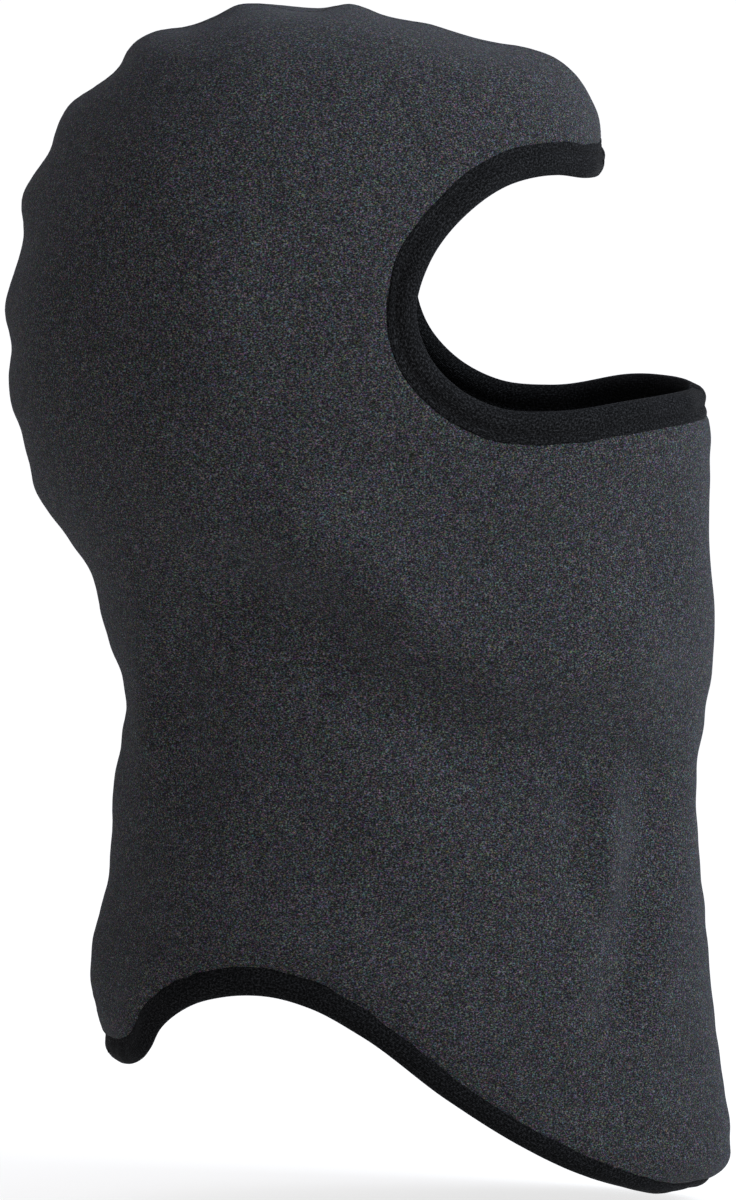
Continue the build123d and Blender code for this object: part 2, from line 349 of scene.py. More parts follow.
def relaxed_net():
    """Coarse (y, z) net of a panel, relaxed until its lines cross cleanly everywhere."""
    s, t = np.linspace(0, 1, NET_ROWS), np.linspace(0, 1, NET_COLUMNS)
    crown, front, face, hem = frame_lines(s, t)
    s1, t1 = s[:, None, None], t[None, :, None]
    sides = (1 - t1) * crown + t1 * front
    net = sides + (1 - s1) * (face - sides[:1]) + s1 * (hem - sides[-1:])
    for _ in range(NET_ROUNDS):
        down = (net[2:, 1:-1] - net[:-2, 1:-1]) / 2
        over = (net[1:-1, 2:] - net[1:-1, :-2]) / 2
        skew = (net[2:, 2:] - net[2:, :-2] - net[:-2, 2:] + net[:-2, :-2]) / 4
        a = (over ** 2).sum(axis=-1, keepdims=True)
        b = (down * over).sum(axis=-1, keepdims=True)
        c = (down ** 2).sum(axis=-1, keepdims=True)
        pulled = a * (net[2:, 1:-1] + net[:-2, 1:-1]) + c * (net[1:-1, 2:] + net[1:-1, :-2]) - 2 * b * skew
        net[1:-1, 1:-1] = pulled / (2 * (a + c))
    return s, t, net


def fine_net():
    """The panel's (y, z) net at full density, its side columns exactly on the seams."""
    coarse_s, coarse_t, net = relaxed_net()
    s, t = np.linspace(0, 1, ROWS), spaced(COLUMNS)
    net = smooth(s, coarse_s, net)
    net = smooth(t, coarse_t, net.swapaxes(0, 1)).swapaxes(0, 1)
    crown, front = frame_lines(s, t)[:2]
    t1 = t[None, :, None]
    return net + (1 - t1) * (crown - net[:, :1]) + t1 * (front - net[:, -1:])


def nearest_on(line, places):
    """Distance of each place from a line of points, and the run along it to the nearest one."""
    tree = KDTree(len(line))
    for k, point in enumerate(line):
        tree.insert(point, k)
    tree.balance()
    found = [tree.find(place)[1:] for place in places.reshape(-1, 3)]
    nearest, gaps = np.array(found).T.reshape(2, *places.shape[:-1])
    return gaps, lengths(line)[nearest.astype(int)]


def in_middle(line):
    """3-D points of a seam, which lies in the middle plane."""
    net = line(np.linspace(0, 1, GAUGE_POINTS))
    return np.concatenate([np.zeros_like(net[:, :1]), net], axis=-1)


def on_surface(net):
    """3-D points of the right side's surface over (y, z) places."""
    x = -np.sqrt(np.maximum(square_width(net[..., 0], net[..., 1]), 0))
    return np.concatenate([x[..., None], net], axis=-1)


def fold_line(line, count):
    """3-D points of a fold on the right side, from seam to seam."""
    points = on_surface(line(spaced(count)))
    points[(0, -1), 0] = 0
    return points


def fold_relief(net):
    """Height of the listed soft folds at each (y, z) place."""
    total = np.zeros(net.shape[:-1])
    for line, height, width in FOLDS:
        gap = np.full(net.shape[:-1], np.inf)
        for start, end in zip(line[:-1], line[1:]):
            start, end = np.array(start), np.array(end)
            span = end - start
            share = np.clip(((net - start) @ span) / (span @ span), 0, 1)
            gap = np.minimum(gap, np.linalg.norm(net - (start + share[..., None] * span), axis=-1))
        total += height * bell(gap, width)
    return total


CROWN_LINE = in_middle(CROWN_SEAM)
FRONT_LINE = in_middle(FRONT_SEAM)
FACE_LINE = fold_line(FACE, GAUGE_POINTS)
HEM_LINE = fold_line(HEM, GAUGE_POINTS)


class Surface:
    """A net of points on the right side's plain surface, with what its relief depends on."""

    def __init__(self, points):
        self.points = points
        self.normals = unit(slope_at(points))
        self.crown_gap, self.crown_at = nearest_on(CROWN_LINE, points)
        self.front_gap, self.front_at = nearest_on(FRONT_LINE, points)
        self.face_gap, _ = nearest_on(FACE_LINE, points)
        self.hem_gap, _ = nearest_on(HEM_LINE, points)

    def relief(self, side):
        """How far the worn cloth stands proud of its plain form."""
        seam = smooth(self.crown_at, SEAM_WAVES[:, 0], SEAM_WAVES[:, 1])
        seam = seam * (0.7 * bell(self.crown_gap, 0.018) + 0.3 * bell(self.crown_gap, 0.045))
        tucks = 0.00016 * ripple(self.crown_at[..., None], 10, 0.010, 0.022) * bell(self.crown_gap, 0.009)
        tucks += 0.00012 * ripple(self.front_at[..., None], 11, 0.010, 0.024) * bell(self.front_gap, 0.009)
        grooves = -0.0011 * bell(self.crown_gap, 0.0016) - 0.0009 * bell(self.front_gap, 0.0016)
        apart = step(np.minimum(self.crown_gap, self.front_gap), 0.0, 0.030)
        loose = 0.00035 * ripple(self.points, 12 + side, 0.030, 0.080) * apart
        folds = fold_relief(self.points[..., 1:])
        calm = step(np.minimum(self.face_gap, self.hem_gap), 0.004, 0.022)
        return (folds + seam + loose) * (0.25 + 0.75 * calm) + tucks * calm + grooves + self.leaning()

    def leaning(self):
        """How the cloth tips in at the brow, the nose and the nape, and swells out under the bib."""
        by_face = 1 - step(self.face_gap, 0.0, 0.0130)
        by_hem = 1 - step(self.hem_gap, 0.0, 0.0080)
        at_face = BROW_LEAN * bell(self.crown_gap, 0.020) + NOSE_LEAN * bell(self.front_gap, 0.020)
        lean = -by_face * at_face - by_hem * NAPE_LEAN * bell(self.crown_gap, 0.022)
        return lean + BIB_SWELL * bell(self.hem_gap - 0.007, 0.008) * bell(self.front_gap, 0.024)

    def raised(self, side, height=0.0):
        """The side's points at a height over its worn surface."""
        lift = self.relief(side) + height
        points = self.points + self.normals * lift[..., None]
        if side > 0:
            beside_nose = bell(self.face_gap, 0.016) * bell(self.points[..., 1] + 0.106, 0.018)
            points[..., 2] += LEFT_LIFT * beside_nose
        return points * (-side, 1, 1)


# A point on the open side of each fold, in the right half
FOLD_SIDE = {FACE: (-0.06, -0.08, 0.0), HEM: (-0.06, -0.02, -0.35)}


def march(line, distances):
    """Rows on the surface at steady distances into the cloth from a fold: stations by distances."""
    points = fold_line(line, STATIONS)
    rows = [points]
    for ahead in np.diff(distances):
        steps = math.ceil(ahead / MARCH_STEP)
        for _ in range(steps):
            along = unit(np.gradient(points, axis=0))
            along[0] = (-1, 0, 0)
            along[-1] = (1, 0, 0)
            into = unit(np.cross(unit(slope_at(points)), along))
            if into[STATIONS // 2] @ (points[STATIONS // 2] - FOLD_SIDE[line]) < 0:
                into = -into
            points = settle(points + into * ahead / steps)
            points[(0, -1), 0] = 0
        rows.append(points)
    return np.stack(rows, axis=1)


# ---------------------------------------------------------------- meshes

def make_piece(name, vertices, faces, material, cloth=None):
    """A shaded mesh piece that rides on the part's one body."""
    mesh = bpy.data.meshes.new(name)
    mesh.from_pydata(vertices.tolist(), [], [tuple(map(int, face)) for face in faces])
    mesh.update()
    mesh.polygons.foreach_set("use_smooth", [True] * len(mesh.polygons))
    if cloth is not None:
        coordinates = mesh.attributes.new("cloth", "FLOAT_VECTOR", "POINT")
        coordinates.data.foreach_set("vector", np.ascontiguousarray(cloth, dtype=np.float32).ravel())
    mesh.materials.append(material)
    piece = bpy.data.objects.new(name, mesh)
    bpy.context.scene.collection.objects.link(piece)
    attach(piece, "root")
    return piece


def net_faces(index, flip):
    """Quads of a grid of vertex numbers."""
    corners = index[:-1, :-1], index[1:, :-1], index[1:, 1:], index[:-1, 1:]
    quads = np.stack(corners, axis=-1).reshape(-1, 4)
    return quads[:, ::-1] if flip else quads


def shell(outer, inner, flip):
    """Vertices and faces of a closed sheet between two nets of points of the same shape."""
    top, bottom = np.arange(outer.size * 2 // 3).reshape(2, *outer.shape[:2])
    faces = [net_faces(top, flip), net_faces(bottom, not flip)]
    edges = (
        (top[0], bottom[0], not flip), (top[-1], bottom[-1], flip),
        (top[:, 0], bottom[:, 0], flip), (top[:, -1], bottom[:, -1], not flip),
    )
    for upper, lower, turned in edges:
        faces.append(net_faces(np.stack([upper, lower]), turned))
    return np.stack([outer, inner]).reshape(-1, 3), np.concatenate(faces)


def ring_faces(rings, sides, flip=True):
    """Faces round a run of rings of vertices, with a cap at each end."""
    index = np.arange(rings * sides).reshape(rings, sides)
    around = np.concatenate([index, index[:, :1]], axis=1)
    caps = (index[0][::-1], index[-1]) if flip else (index[0], index[-1][::-1])
    return [*net_faces(around, flip), *caps]


def tube(path, radius, sides=6):
    """Vertices and faces of a round thread along a path."""
    tangents = unit(np.gradient(path, axis=0))
    first = np.cross(tangents[0], (0.0, 0.0, 1.0))
    if np.linalg.norm(first) < 1e-3:
        first = np.cross(tangents[0], (0.0, 1.0, 0.0))
    across = [unit(first)]
    for tangent in tangents[1:]:
        across.append(unit(across[-1] - tangent * (across[-1] @ tangent)))
    across = np.array(across)
    other = np.cross(tangents, across)
    turn = np.linspace(0, 2 * math.pi, sides, endpoint=False)
    ring = across[:, None] * np.cos(turn)[None, :, None] + other[:, None] * np.sin(turn)[None, :, None]
    return (path[:, None] + radius * ring).reshape(-1, 3), ring_faces(len(path), sides)


def thread_piece(name, node, parts):
    """One piece of thread from several lists of vertices and faces."""
    vertices, faces, base = [], [], 0
    for some_vertices, some_faces in parts:
        vertices.append(some_vertices)
        faces += [tuple(int(k) + base for k in face) for face in some_faces]
        base += len(some_vertices)
    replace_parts(make_piece(name, np.concatenate(vertices), faces, THREAD_BLACK), node)


# ---------------------------------------------------------------- materials

RIB_PITCH = 0.00055  # of the jersey's knit, across and along the strip
LOOP_PITCH = 0.00045
TWIST_PITCH = 0.00035  # of the sewing thread
WEFT_PITCH = 0.0003  # of the label's satin
WARP_PITCH = 0.0004


class Nodes:
    """Short way to write a node tree."""

    def __init__(self, tree):
        self.tree = tree
        tree.nodes.clear()

    def add(self, kind, **settings):
        node = self.tree.nodes.new(kind)
        for key, value in settings.items():
            setattr(node, key, value)
        return node

    def link(self, source, target):
        self.tree.links.new(source, target)

    def fill(self, socket, value):
        """Sets a socket to a plain value, or links it to the output that brings one."""
        if isinstance(value, (int, float, tuple)):
            socket.default_value = value
        else:
            self.link(value, socket)

    def place(self):
        """Position in the object's own metres."""
        return self.add("ShaderNodeTexCoord").outputs["Object"]

    def cloth(self):
        """Position on the flat strip, in metres."""
        return self.add("ShaderNodeAttribute", attribute_name="cloth").outputs["Vector"]

    def axes(self, where):
        """The three coordinates of a place."""
        node = self.add("ShaderNodeSeparateXYZ")
        self.link(where, node.inputs[0])
        return node.outputs

    def scaled(self, where, factors, shift=(0.0, 0.0, 0.0)):
        """A vector times the factors, plus the shift."""
        node = self.add("ShaderNodeVectorMath", operation="MULTIPLY_ADD")
        self.link(where, node.inputs[0])
        node.inputs[1].default_value = factors
        node.inputs[2].default_value = shift
        return node.outputs["Vector"]

    def noise(self, where, scale, detail=2.0, roughness=0.5, distortion=0.0):
        node = self.add("ShaderNodeTexNoise")
        self.link(where, node.inputs["Vector"])
        node.inputs["Scale"].default_value = scale
        node.inputs["Detail"].default_value = detail
        node.inputs["Roughness"].default_value = roughness
        node.inputs["Distortion"].default_value = distortion
        return node

    def math(self, operation, *values):
        node = self.add("ShaderNodeMath", operation=operation)
        for socket, value in zip(node.inputs, values):
            self.fill(socket, value)
        return node.outputs[0]

    def wave(self, distance, pitch, shift=None):
        """Sine wave of a pitch along a distance."""
        angle = self.math("MULTIPLY", distance, 2 * math.pi / pitch)
        return self.math("SINE", angle if shift is None else self.math("ADD", angle, shift))

    def spread(self, value, low, high, to_low, to_high):
        """A value carried from one range to another."""
        node = self.add("ShaderNodeMapRange")
        self.link(value, node.inputs["Value"])
        ends = {"From Min": low, "From Max": high, "To Min": to_low, "To Max": to_high}
        for name, number in ends.items():
            node.inputs[name].default_value = number
        return node.outputs["Result"]

    def ramp(self, value, *stops):
        """Colours at places along a value."""
        node = self.add("ShaderNodeValToRGB")
        self.link(value, node.inputs["Fac"])
        elements = node.color_ramp.elements
        while len(elements) < len(stops):
            elements.new(0.5)
        for element, (position, colour) in zip(elements, stops):
            element.position = position
            element.color = (*colour, 1.0)
        return node.outputs["Color"]

    def mix(self, blend, factor, a, b):
        node = self.add("ShaderNodeMix", data_type="RGBA", blend_type=blend)
        colour_sockets = [s for s in node.inputs if s.type == "RGBA"]
        for socket, value in zip((node.inputs["Factor"], *colour_sockets), (factor, a, b)):
            self.fill(socket, value)
        return [s for s in node.outputs if s.type == "RGBA"][0]

    def bump(self, height, distance, strength):
        """A normal bent by a height from 0 to 1, which stands for the distance."""
        node = self.add("ShaderNodeBump")
        node.inputs["Distance"].default_value = distance
        node.inputs["Strength"].default_value = strength
        self.link(height, node.inputs["Height"])
        return node.outputs["Normal"]


class Material(Nodes):
    """The nodes of a material with one principled shader."""

    def __init__(self, name):
        self.material = bpy.data.materials.new(name)
        self.material.use_nodes = True
        super().__init__(self.material.node_tree)
        self.shader = self.add("ShaderNodeBsdfPrincipled")
        output = self.add("ShaderNodeOutputMaterial")
        self.link(self.shader.outputs["BSDF"], output.inputs["Surface"])

    def set(self, **values):
        """Fills the shader's sockets and gives back the finished material."""
        for name, value in values.items():
            self.fill(self.shader.inputs[name.replace("_", " ")], value)
        return self.material


def fleece_material():
    """Charcoal heather micro-fleece: mixed dark and pale fibres in a short brushed nap."""
    n = Material("charcoal_heather_fleece")
    where = n.scaled(n.place(), (1.0, 0.8, 1.2))
    fibre = n.noise(where, 2100, detail=2, roughness=0.6, distortion=0.4)
    clump = n.noise(where, 420, detail=2)
    patch = n.noise(where, 22, detail=3)
    grey = n.ramp(
        fibre.outputs["Fac"],
        (0.34, (0.0032, 0.0033, 0.0034)),
        (0.45, (0.0098, 0.0101, 0.0103)),
        (0.55, (0.0275, 0.0282, 0.0289)),
        (0.67, (0.0785, 0.0805, 0.0825)),
    )
    specks = n.noise(where, 1500, detail=1).outputs["Color"]
    hue = n.scaled(specks, (1.9, 1.8, 1.95), (-0.45, -0.42, -0.46))
    tinted = n.mix("OVERLAY", 0.6, grey, hue)
    clumped = n.math("MULTIPLY", n.spread(clump.outputs["Fac"], 0.3, 0.7, 0.78, 1.22),
                     n.spread(patch.outputs["Fac"], 0.3, 0.7, 0.93, 1.07))
    colour = n.mix("MULTIPLY", 1.0, tinted, clumped)
    fine_nap = n.math("MULTIPLY", fibre.outputs["Fac"], 0.7)
    nap = n.math("ADD", fine_nap, n.math("MULTIPLY", clump.outputs["Fac"], 0.3))
    return n.set(
        Base_Color=colour,
        Roughness=n.spread(clump.outputs["Fac"], 0.3, 0.7, 0.82, 0.98),
        Normal=n.bump(nap, 0.0004, 0.6),
        Specular_IOR_Level=0.02,
        Sheen_Weight=0.05,
        Sheen_Roughness=0.6,
        Sheen_Tint=(0.72, 0.78, 0.90, 1.0),
    )


def jersey_material(name, tone):
    """Black knitted jersey with its ribs running along the strip, and painted shade darkening the troughs
    between its ribs and loops.
    """
    n = Material(name)
    cloth = n.cloth()
    along, across, _ = n.axes(cloth)
    wander = n.spread(n.noise(cloth, 260, detail=1).outputs["Fac"], 0, 1, -0.5, 0.5)
    rib = n.wave(across, RIB_PITCH, wander)
    loop = n.wave(along, LOOP_PITCH, n.math("MULTIPLY", rib, 1.2))
    knit = n.math("ADD", n.math("MULTIPLY", rib, 0.6), n.math("MULTIPLY", loop, 0.4))
    lint = n.noise(cloth, 1500, detail=2)
    worn = n.noise(cloth, 90, detail=3)
    wear = n.spread(worn.outputs["Fac"], 0.3, 0.7, 0.85, 1.15)
    # Painted shade: the colour is darkest in the troughs of the knit's ribs and loops and lightest on their
    # crests, times the random wear.
    shade = n.math("MULTIPLY", n.spread(knit, -1, 1, 0.6, 1.3), wear)
    grey = n.ramp(
        lint.outputs["Fac"],
        (0.34, tuple(tone * k for k in (0.25, 0.25, 0.27))),
        (0.50, tuple(tone * k for k in (0.95, 0.97, 1.03))),
        (0.68, tuple(tone * k for k in (3.6, 3.7, 4.0))),
    )
    return n.set(
        Base_Color=n.mix("MULTIPLY", 1.0, grey, shade),
        Roughness=n.spread(worn.outputs["Fac"], 0.3, 0.7, 0.62, 0.80),
        Normal=n.bump(knit, 0.00012, 0.7),
        Specular_IOR_Level=0.015,
        Sheen_Weight=0.02,
        Sheen_Roughness=0.4,
        Sheen_Tint=(0.75, 0.82, 0.95, 1.0),
    )


def thread_material():
    """Black polyester sewing thread, its twist showing as fine slanted ridges, with painted shade in the
    grooves between them.
    """
    n = Material("black_thread")
    x, y, z = n.axes(n.place())
    twist = n.wave(n.math("ADD", n.math("ADD", x, y), z), TWIST_PITCH)
    # Painted shade: the base colour is darker in the twist's grooves and lighter on its crests.
    twist_shade = n.spread(twist, -1, 1, 0, 1)
    return n.set(
        Base_Color=n.ramp(twist_shade, (0.0, (0.004, 0.004, 0.004)), (1.0, (0.010, 0.010, 0.011))),
        Roughness=n.spread(twist, -1, 1, 0.55, 0.4),
        Normal=n.bump(twist, 0.00005, 0.6),
        Specular_IOR_Level=0.04,
    )


def label_material():
    """Pale woven satin ribbon."""
    n = Material("satin_label")
    cloth = n.cloth()
    across, along, _ = n.axes(cloth)
    weave = n.math("MULTIPLY", n.wave(along, WEFT_PITCH), n.wave(across, WARP_PITCH))
    soil = n.noise(cloth, 160, detail=3)
    return n.set(
        Base_Color=n.ramp(soil.outputs["Fac"], (0.3, (0.50, 0.50, 0.49)), (0.7, (0.62, 0.62, 0.60))),
        Roughness=n.spread(weave, -1, 1, 0.32, 0.48),
        Normal=n.bump(weave, 0.00005, 0.5),
        Specular_IOR_Level=0.5,
        Sheen_Weight=0.1,
    )


def floor_material():
    """Plain white studio sweep."""
    n = Material("white_sweep")
    grain = n.noise(n.place(), 6, detail=2)
    return n.set(
        Base_Color=n.ramp(grain.outputs["Fac"], (0.0, (0.30, 0.30, 0.30)), (1.0, (0.32, 0.32, 0.32))),
        Roughness=0.9,
        Specular_IOR_Level=0.0,
        Emission_Color=(1.0, 1.0, 1.0, 1.0),
        Emission_Strength=0.75,
    )


FLEECE_CLOTH = fleece_material()
FACE_JERSEY = jersey_material("black_jersey_face", 0.0058)
# The hem binding's copy of the same black jersey is given a darker tone: painted shade, since the hem
# binding faces down into dim light.
HEM_JERSEY_PAINTED_SHADE = jersey_material("black_jersey_hem_painted_shade", 0.0042)
THREAD_BLACK = thread_material()
LABEL_SATIN = label_material()


# ---------------------------------------------------------------- fleece panels

EDGE_ROWS = np.arange(0.0015, 0.0211, 0.0011)  # distances of the close rows beside each fold
MIDDLE_ROWS = 300


def panel_net():
    """Rows of surface points from fold to fold, closer together beside the folds."""
    dense = on_surface(fine_net())
    dense[:, (0, -1), 0] = 0
    run = lengths(dense)
    rows = []
    shares = np.linspace(0, 1, MIDDLE_ROWS + 2)[1:-1]
    for column in range(COLUMNS):
        total = run[-1, column]
        middle = EDGE_ROWS[-1] + (total - 2 * EDGE_ROWS[-1]) * shares
        places = np.concatenate([EDGE_ROWS, middle, total - EDGE_ROWS[::-1]])
        rows.append(sampled(places, run[:, column], dense[:, column]))
    points = settle(np.stack(rows, axis=1))
    points[:, (0, -1), 0] = 0
    return points


def turned_in(outer, inner, normals, clear):
    """The seam allowance of one panel edge: columns that leave the surface and run down inside."""
    depth = (ALLOWANCE * step(clear, ALLOWANCE_STARTS, ALLOWANCE_FULL) + 0.0003)[:, None]
    columns = []
    for share, kink in ((0.2, SEAM_KINK), (0.5, 0.0), (0.8, 0.0), (1.0, 0.0)):
        outer_drop = FLEECE * min(1.0, 2 * share) + depth * share
        aside = np.array((kink, 0.0, 0.0))
        columns.append((outer - normals * outer_drop + aside, inner - normals * depth * share + aside))
    return [np.stack(layer, axis=1) for layer in zip(*columns)]


def side_panel(name, surface):
    """One fleece half of the hood, its seam allowances turned inwards along both seams."""
    side = SIDES[name]
    # Pressed flat inside the bindings, rolling up beside them and over the hem's towards the bib
    cover = smooth(-surface.points[..., 1], HEM_COVER[:, 0], HEM_COVER[:, 1])
    cover += 0.00030 * ripple(surface.points, 30 + side, 0.004, 0.014)
    clear = np.minimum(surface.face_gap, surface.hem_gap)
    face_pressed = 1 - step(surface.face_gap, *FACE_RISE)
    hem_pressed = 1 - step(surface.hem_gap + cover, *HEM_RISE)
    inside_pressed = 1 - step(clear, *INSIDE_RISE)
    swell = 0.0004 * bell(surface.face_gap - 0.0165, 0.0050)
    swell += 0.0013 * bell(surface.hem_gap + cover - 0.0160, 0.0060)
    thinned = (FLEECE - PRESSED) / 2
    outer = surface.raised(side, swell - np.maximum(face_pressed, hem_pressed) * thinned)
    inner = surface.raised(side, -FLEECE + inside_pressed * thinned)
    outer[..., 0] = side * np.hypot(outer[..., 0], SEAM_GAP)
    inner[..., 0] = side * np.hypot(inner[..., 0], PRESSED)
    normals = surface.normals * (-side, 1, 1)
    crown = turned_in(outer[:, 0], inner[:, 0], normals[:, 0], clear[:, 0])
    front = turned_in(outer[:, -1], inner[:, -1], normals[:, -1], clear[:, -1])
    outer = np.concatenate([crown[0][:, ::-1], outer, front[0]], axis=1)
    inner = np.concatenate([crown[1][:, ::-1], inner, front[1]], axis=1)
    vertices, faces = shell(outer, inner, flip=side > 0)
    piece = make_piece(f"{name}_fleece_panel", vertices, faces, FLEECE_CLOTH)
    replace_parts(piece, f"{name}_side_panel")
    return piece, surface_area(outer)


def surface_area(points):
    """Area of a net of points."""
    down = points[1:, :-1] - points[:-1, :-1]
    along = points[:-1, 1:] - points[:-1, :-1]
    return float(np.linalg.norm(np.cross(down, along), axis=-1).sum())


# ---------------------------------------------------------------- bindings

# Half of a binding's section, from its sewn edge to its fold: distance from the fold, and height
FACE_HALF = np.array((
    (0.01040, -0.00080), (0.01065, -0.00050), (0.01055, -0.00015), (0.01015, 0.00010), (0.00950, 0.00018),
    (0.00870, 0.00012), (0.00810, -0.00004), (0.00765, -0.00006), (0.00715, 0.00018), (0.00640, 0.00065),
    (0.00540, 0.00110), (0.00420, 0.00130), (0.00300, 0.00115), (0.00185, 0.00065), (0.00085, -0.00015),
    (0.00020, -0.00090), (0.00000, -0.00150),
))
HEM_HALF = np.array((
    (0.01040, -0.00090), (0.01060, -0.00070), (0.01045, -0.00045), (0.01000, -0.00028), (0.00930, -0.00018),
    (0.00860, -0.00008), (0.00800, 0.00005), (0.00740, 0.00025), (0.00680, 0.00050), (0.00610, 0.00078),
    (0.00530, 0.00100), (0.00430, 0.00112), (0.00310, 0.00100), (0.00190, 0.00055), (0.00090, -0.00020),
    (0.00020, -0.00090), (0.00000, -0.00150),
))
BINDING_INSIDE = np.array((
    (0.00180, -0.00215), (0.00140, -0.00150), (0.00180, -0.00085),
))


def binding_ring(half):
    """The whole section: outside, round the fold, inside, and back along the cloth it grips."""
    mirrored = half[-2::-1].copy()
    mirrored[:, 1] = -FLEECE - mirrored[:, 1]
    return np.concatenate([half, mirrored, BINDING_INSIDE])


STRIP_REACH = 0.0126  # how far into the cloth the rows beside a fold run
STRIP_ROWS = 43


class Strip:
    """Both sides' surface beside a fold, in a loop of stations from the first seam back to it."""

    def __init__(self, line, from_hem):
        self.from_hem = from_hem
        self.distances = np.linspace(0, STRIP_REACH, STRIP_ROWS)
        self.surface = Surface(march(line, self.distances))
        sides = [
            (self.surface.raised(side), self.surface.normals * (-side, 1, 1))
            for side in SIDES.values()
        ]
        self.points, self.normals = (np.concatenate([a, b[-2::-1]]) for a, b in zip(*sides))
        self.run = lengths(self.points[:, 0])

    def at(self, distance):
        """Points and normals along the loop at a distance from the fold."""
        k = np.clip(np.searchsorted(self.distances, distance) - 1, 0, len(self.distances) - 2)
        u = (distance - self.distances[k]) / (self.distances[k + 1] - self.distances[k])
        place = self.points[:, k] * (1 - u) + self.points[:, k + 1] * u
        return place, unit(self.normals[:, k] * (1 - u) + self.normals[:, k + 1] * u)


def binding(name, node, strip, half, material, seed):
    """A jersey strip folded over the cloth's edge, puffed between the fold and the stitching."""
    ring = binding_ring(half)
    run = strip.run[:, None]
    puff = 1 + 0.08 * ripple(run, seed, 0.020, 0.060) + 0.02 * ripple(run, seed + 1, 0.006, 0.014)
    wander = 0.00022 * ripple(run, seed + 2, 0.012, 0.040)
    dimples = 0.00010 * np.cos(2 * math.pi * strip.run / STITCH_PITCH)
    middle = -FLEECE / 2
    rings = []
    for distance, height in ring:
        place, outward = strip.at(distance)
        across = unit(strip.at(distance + 0.001)[0] - place)
        lift = middle + (height - middle) * (puff if distance < STITCH_FROM_FOLD else 1.0)
        lift = lift + dimples * bell(distance - STITCH_FROM_FOLD, 0.0012) * np.sign(height - middle)
        shift = wander * step(distance, 0.007, BINDING_WIDTH)
        place = place + outward * lift[:, None] + across * shift[:, None]
        place[0, 0] = -BINDING_END_GAP
        place[-1, 0] = BINDING_END_GAP
        rings.append(place)
    net = np.stack(rings, axis=1)
    faces = ring_faces(*net.shape[:2], flip=strip.from_hem)
    across_run = lengths(ring)
    cloth = np.zeros_like(net)
    cloth[..., 0] = run
    cloth[..., 1] = across_run
    piece = make_piece(name, net.reshape(-1, 3), faces, material, cloth.reshape(-1, 3))
    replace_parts(piece, node)
    inner_edge = 2 * len(half) - 2  # the ring's point where the strip ends inside
    return piece, across_run[inner_edge], strip.run[-1]


def capsule(length, radius):
    """One stitch along +X, sunk at both ends."""
    rings = sides = 6
    u = np.linspace(-1, 1, rings + 2)[1:-1]
    turn = np.linspace(0, 2 * math.pi, sides, endpoint=False)
    x = np.repeat(u * length / 2, sides)
    r = np.repeat(radius * np.sqrt(1 - 0.75 * u ** 4), sides)
    sag = np.repeat(-1.1 * radius * u ** 4, sides)
    y = r * np.tile(np.cos(turn), rings)
    z = r * np.tile(np.sin(turn), rings) + sag
    return np.stack([x, y, z], axis=-1), ring_faces(rings, sides)


def stitch_row(strip, inside):
    """Single stitches along a binding's groove."""
    place, outward = strip.at(STITCH_FROM_FOLD)
    sign = -1 if inside else 1
    place = place + outward * (-FLEECE - STITCH_RISE if inside else STITCH_RISE)
    run = lengths(place)
    tangents = unit(np.gradient(place, axis=0))
    shape, shape_faces = capsule(STITCH_LENGTH, THREAD * 1.25)
    parts = []
    for start in np.arange(STITCHES_FROM_END, run[-1] - STITCHES_FROM_END, STITCH_PITCH):
        centre, along, up = (sampled(start, run, field) for field in (place, tangents, outward * sign))
        along = unit(along)
        up = unit(up - along * (up @ along))
        parts.append((centre + shape @ np.stack([along, np.cross(up, along), up]), shape_faces))
    return parts


def stitching(name, node, strip):
    """A binding's whole stitch line, outside and inside."""
    thread_piece(name, node, stitch_row(strip, False) + stitch_row(strip, True))


# ---------------------------------------------------------------- seams, tacks and label

def overlock(name, node, surface, column):
    """Thread looped round the edges of the seam allowances, with its needle lines."""
    clear = np.minimum(surface.face_gap, surface.hem_gap)[:, column]
    keep = clear > OVERLOCK_CLEAR
    points = surface.raised(-1)[keep, column]
    inward = -surface.normals[keep, column]
    run = lengths(points)
    edge = FLEECE + ALLOWANCE + OVERLOCK_PAST
    half = PRESSED + OVERLOCK_ASIDE
    turns = int(run[-1] / OVERLOCK_PITCH)
    u = np.linspace(0, turns, turns * TURN_POINTS)
    where = u / turns * run[-1]
    centre = sampled(where, run, points)
    down = unit(sampled(where, run, inward))
    angle = 2 * math.pi * u
    depth = edge - OVERLOCK_DEPTH * (1 - np.sin(angle)) / 2
    path = centre + down * depth[:, None]
    path[:, 0] += half * np.tanh(TURN_SQUARENESS * np.cos(angle)) / math.tanh(TURN_SQUARENESS)
    parts = [tube(path, THREAD * 0.9, sides=5)]
    for sign in (-1, 1):
        line = points + inward * (edge - OVERLOCK_DEPTH)
        line[:, 0] += sign * (half + 0.0001 * np.cos(2 * math.pi * run / NEEDLE_PITCH))
        parts.append(tube(line, THREAD * 0.9, sides=5))
    thread_piece(name, node, parts)


def bar_tack(name, node, strip):
    """Close zigzag of thread across the two ends of a binding, outside and inside."""
    order = [*range(-TACK_STATIONS, 0), *range(TACK_STATIONS)]
    levels = np.linspace(TACK_FROM_FOLD - TACK_HALF_HEIGHT, TACK_FROM_FOLD + TACK_HALF_HEIGHT, 5)
    fields = np.array([strip.at(level) for level in levels])[:, :, order]
    u = np.linspace(0, 1, TACK_PASSES * 6 + 1)
    wave = np.arcsin(np.sin(2 * math.pi * u * TACK_PASSES)) / (math.pi / 2)
    parts = []
    for inside in (False, True):
        path = []
        for across, swing in zip(TACK_HALF_LENGTH * (2 * u - 1), wave):
            level = (swing + 1) / 2 * (len(levels) - 1)
            low = min(int(level), len(levels) - 2)
            mixed = fields[low] * (1 - level + low) + fields[low + 1] * (level - low)
            place, up = (sampled(across, mixed[0, :, 0], field) for field in mixed)
            height = TACK_RISE + 0.00012 * abs(swing)
            if inside:
                height = -FLEECE - height
            path.append(place + unit(up) * height)
        parts.append(tube(np.array(path), THREAD, sides=6))
    thread_piece(name, node, parts)


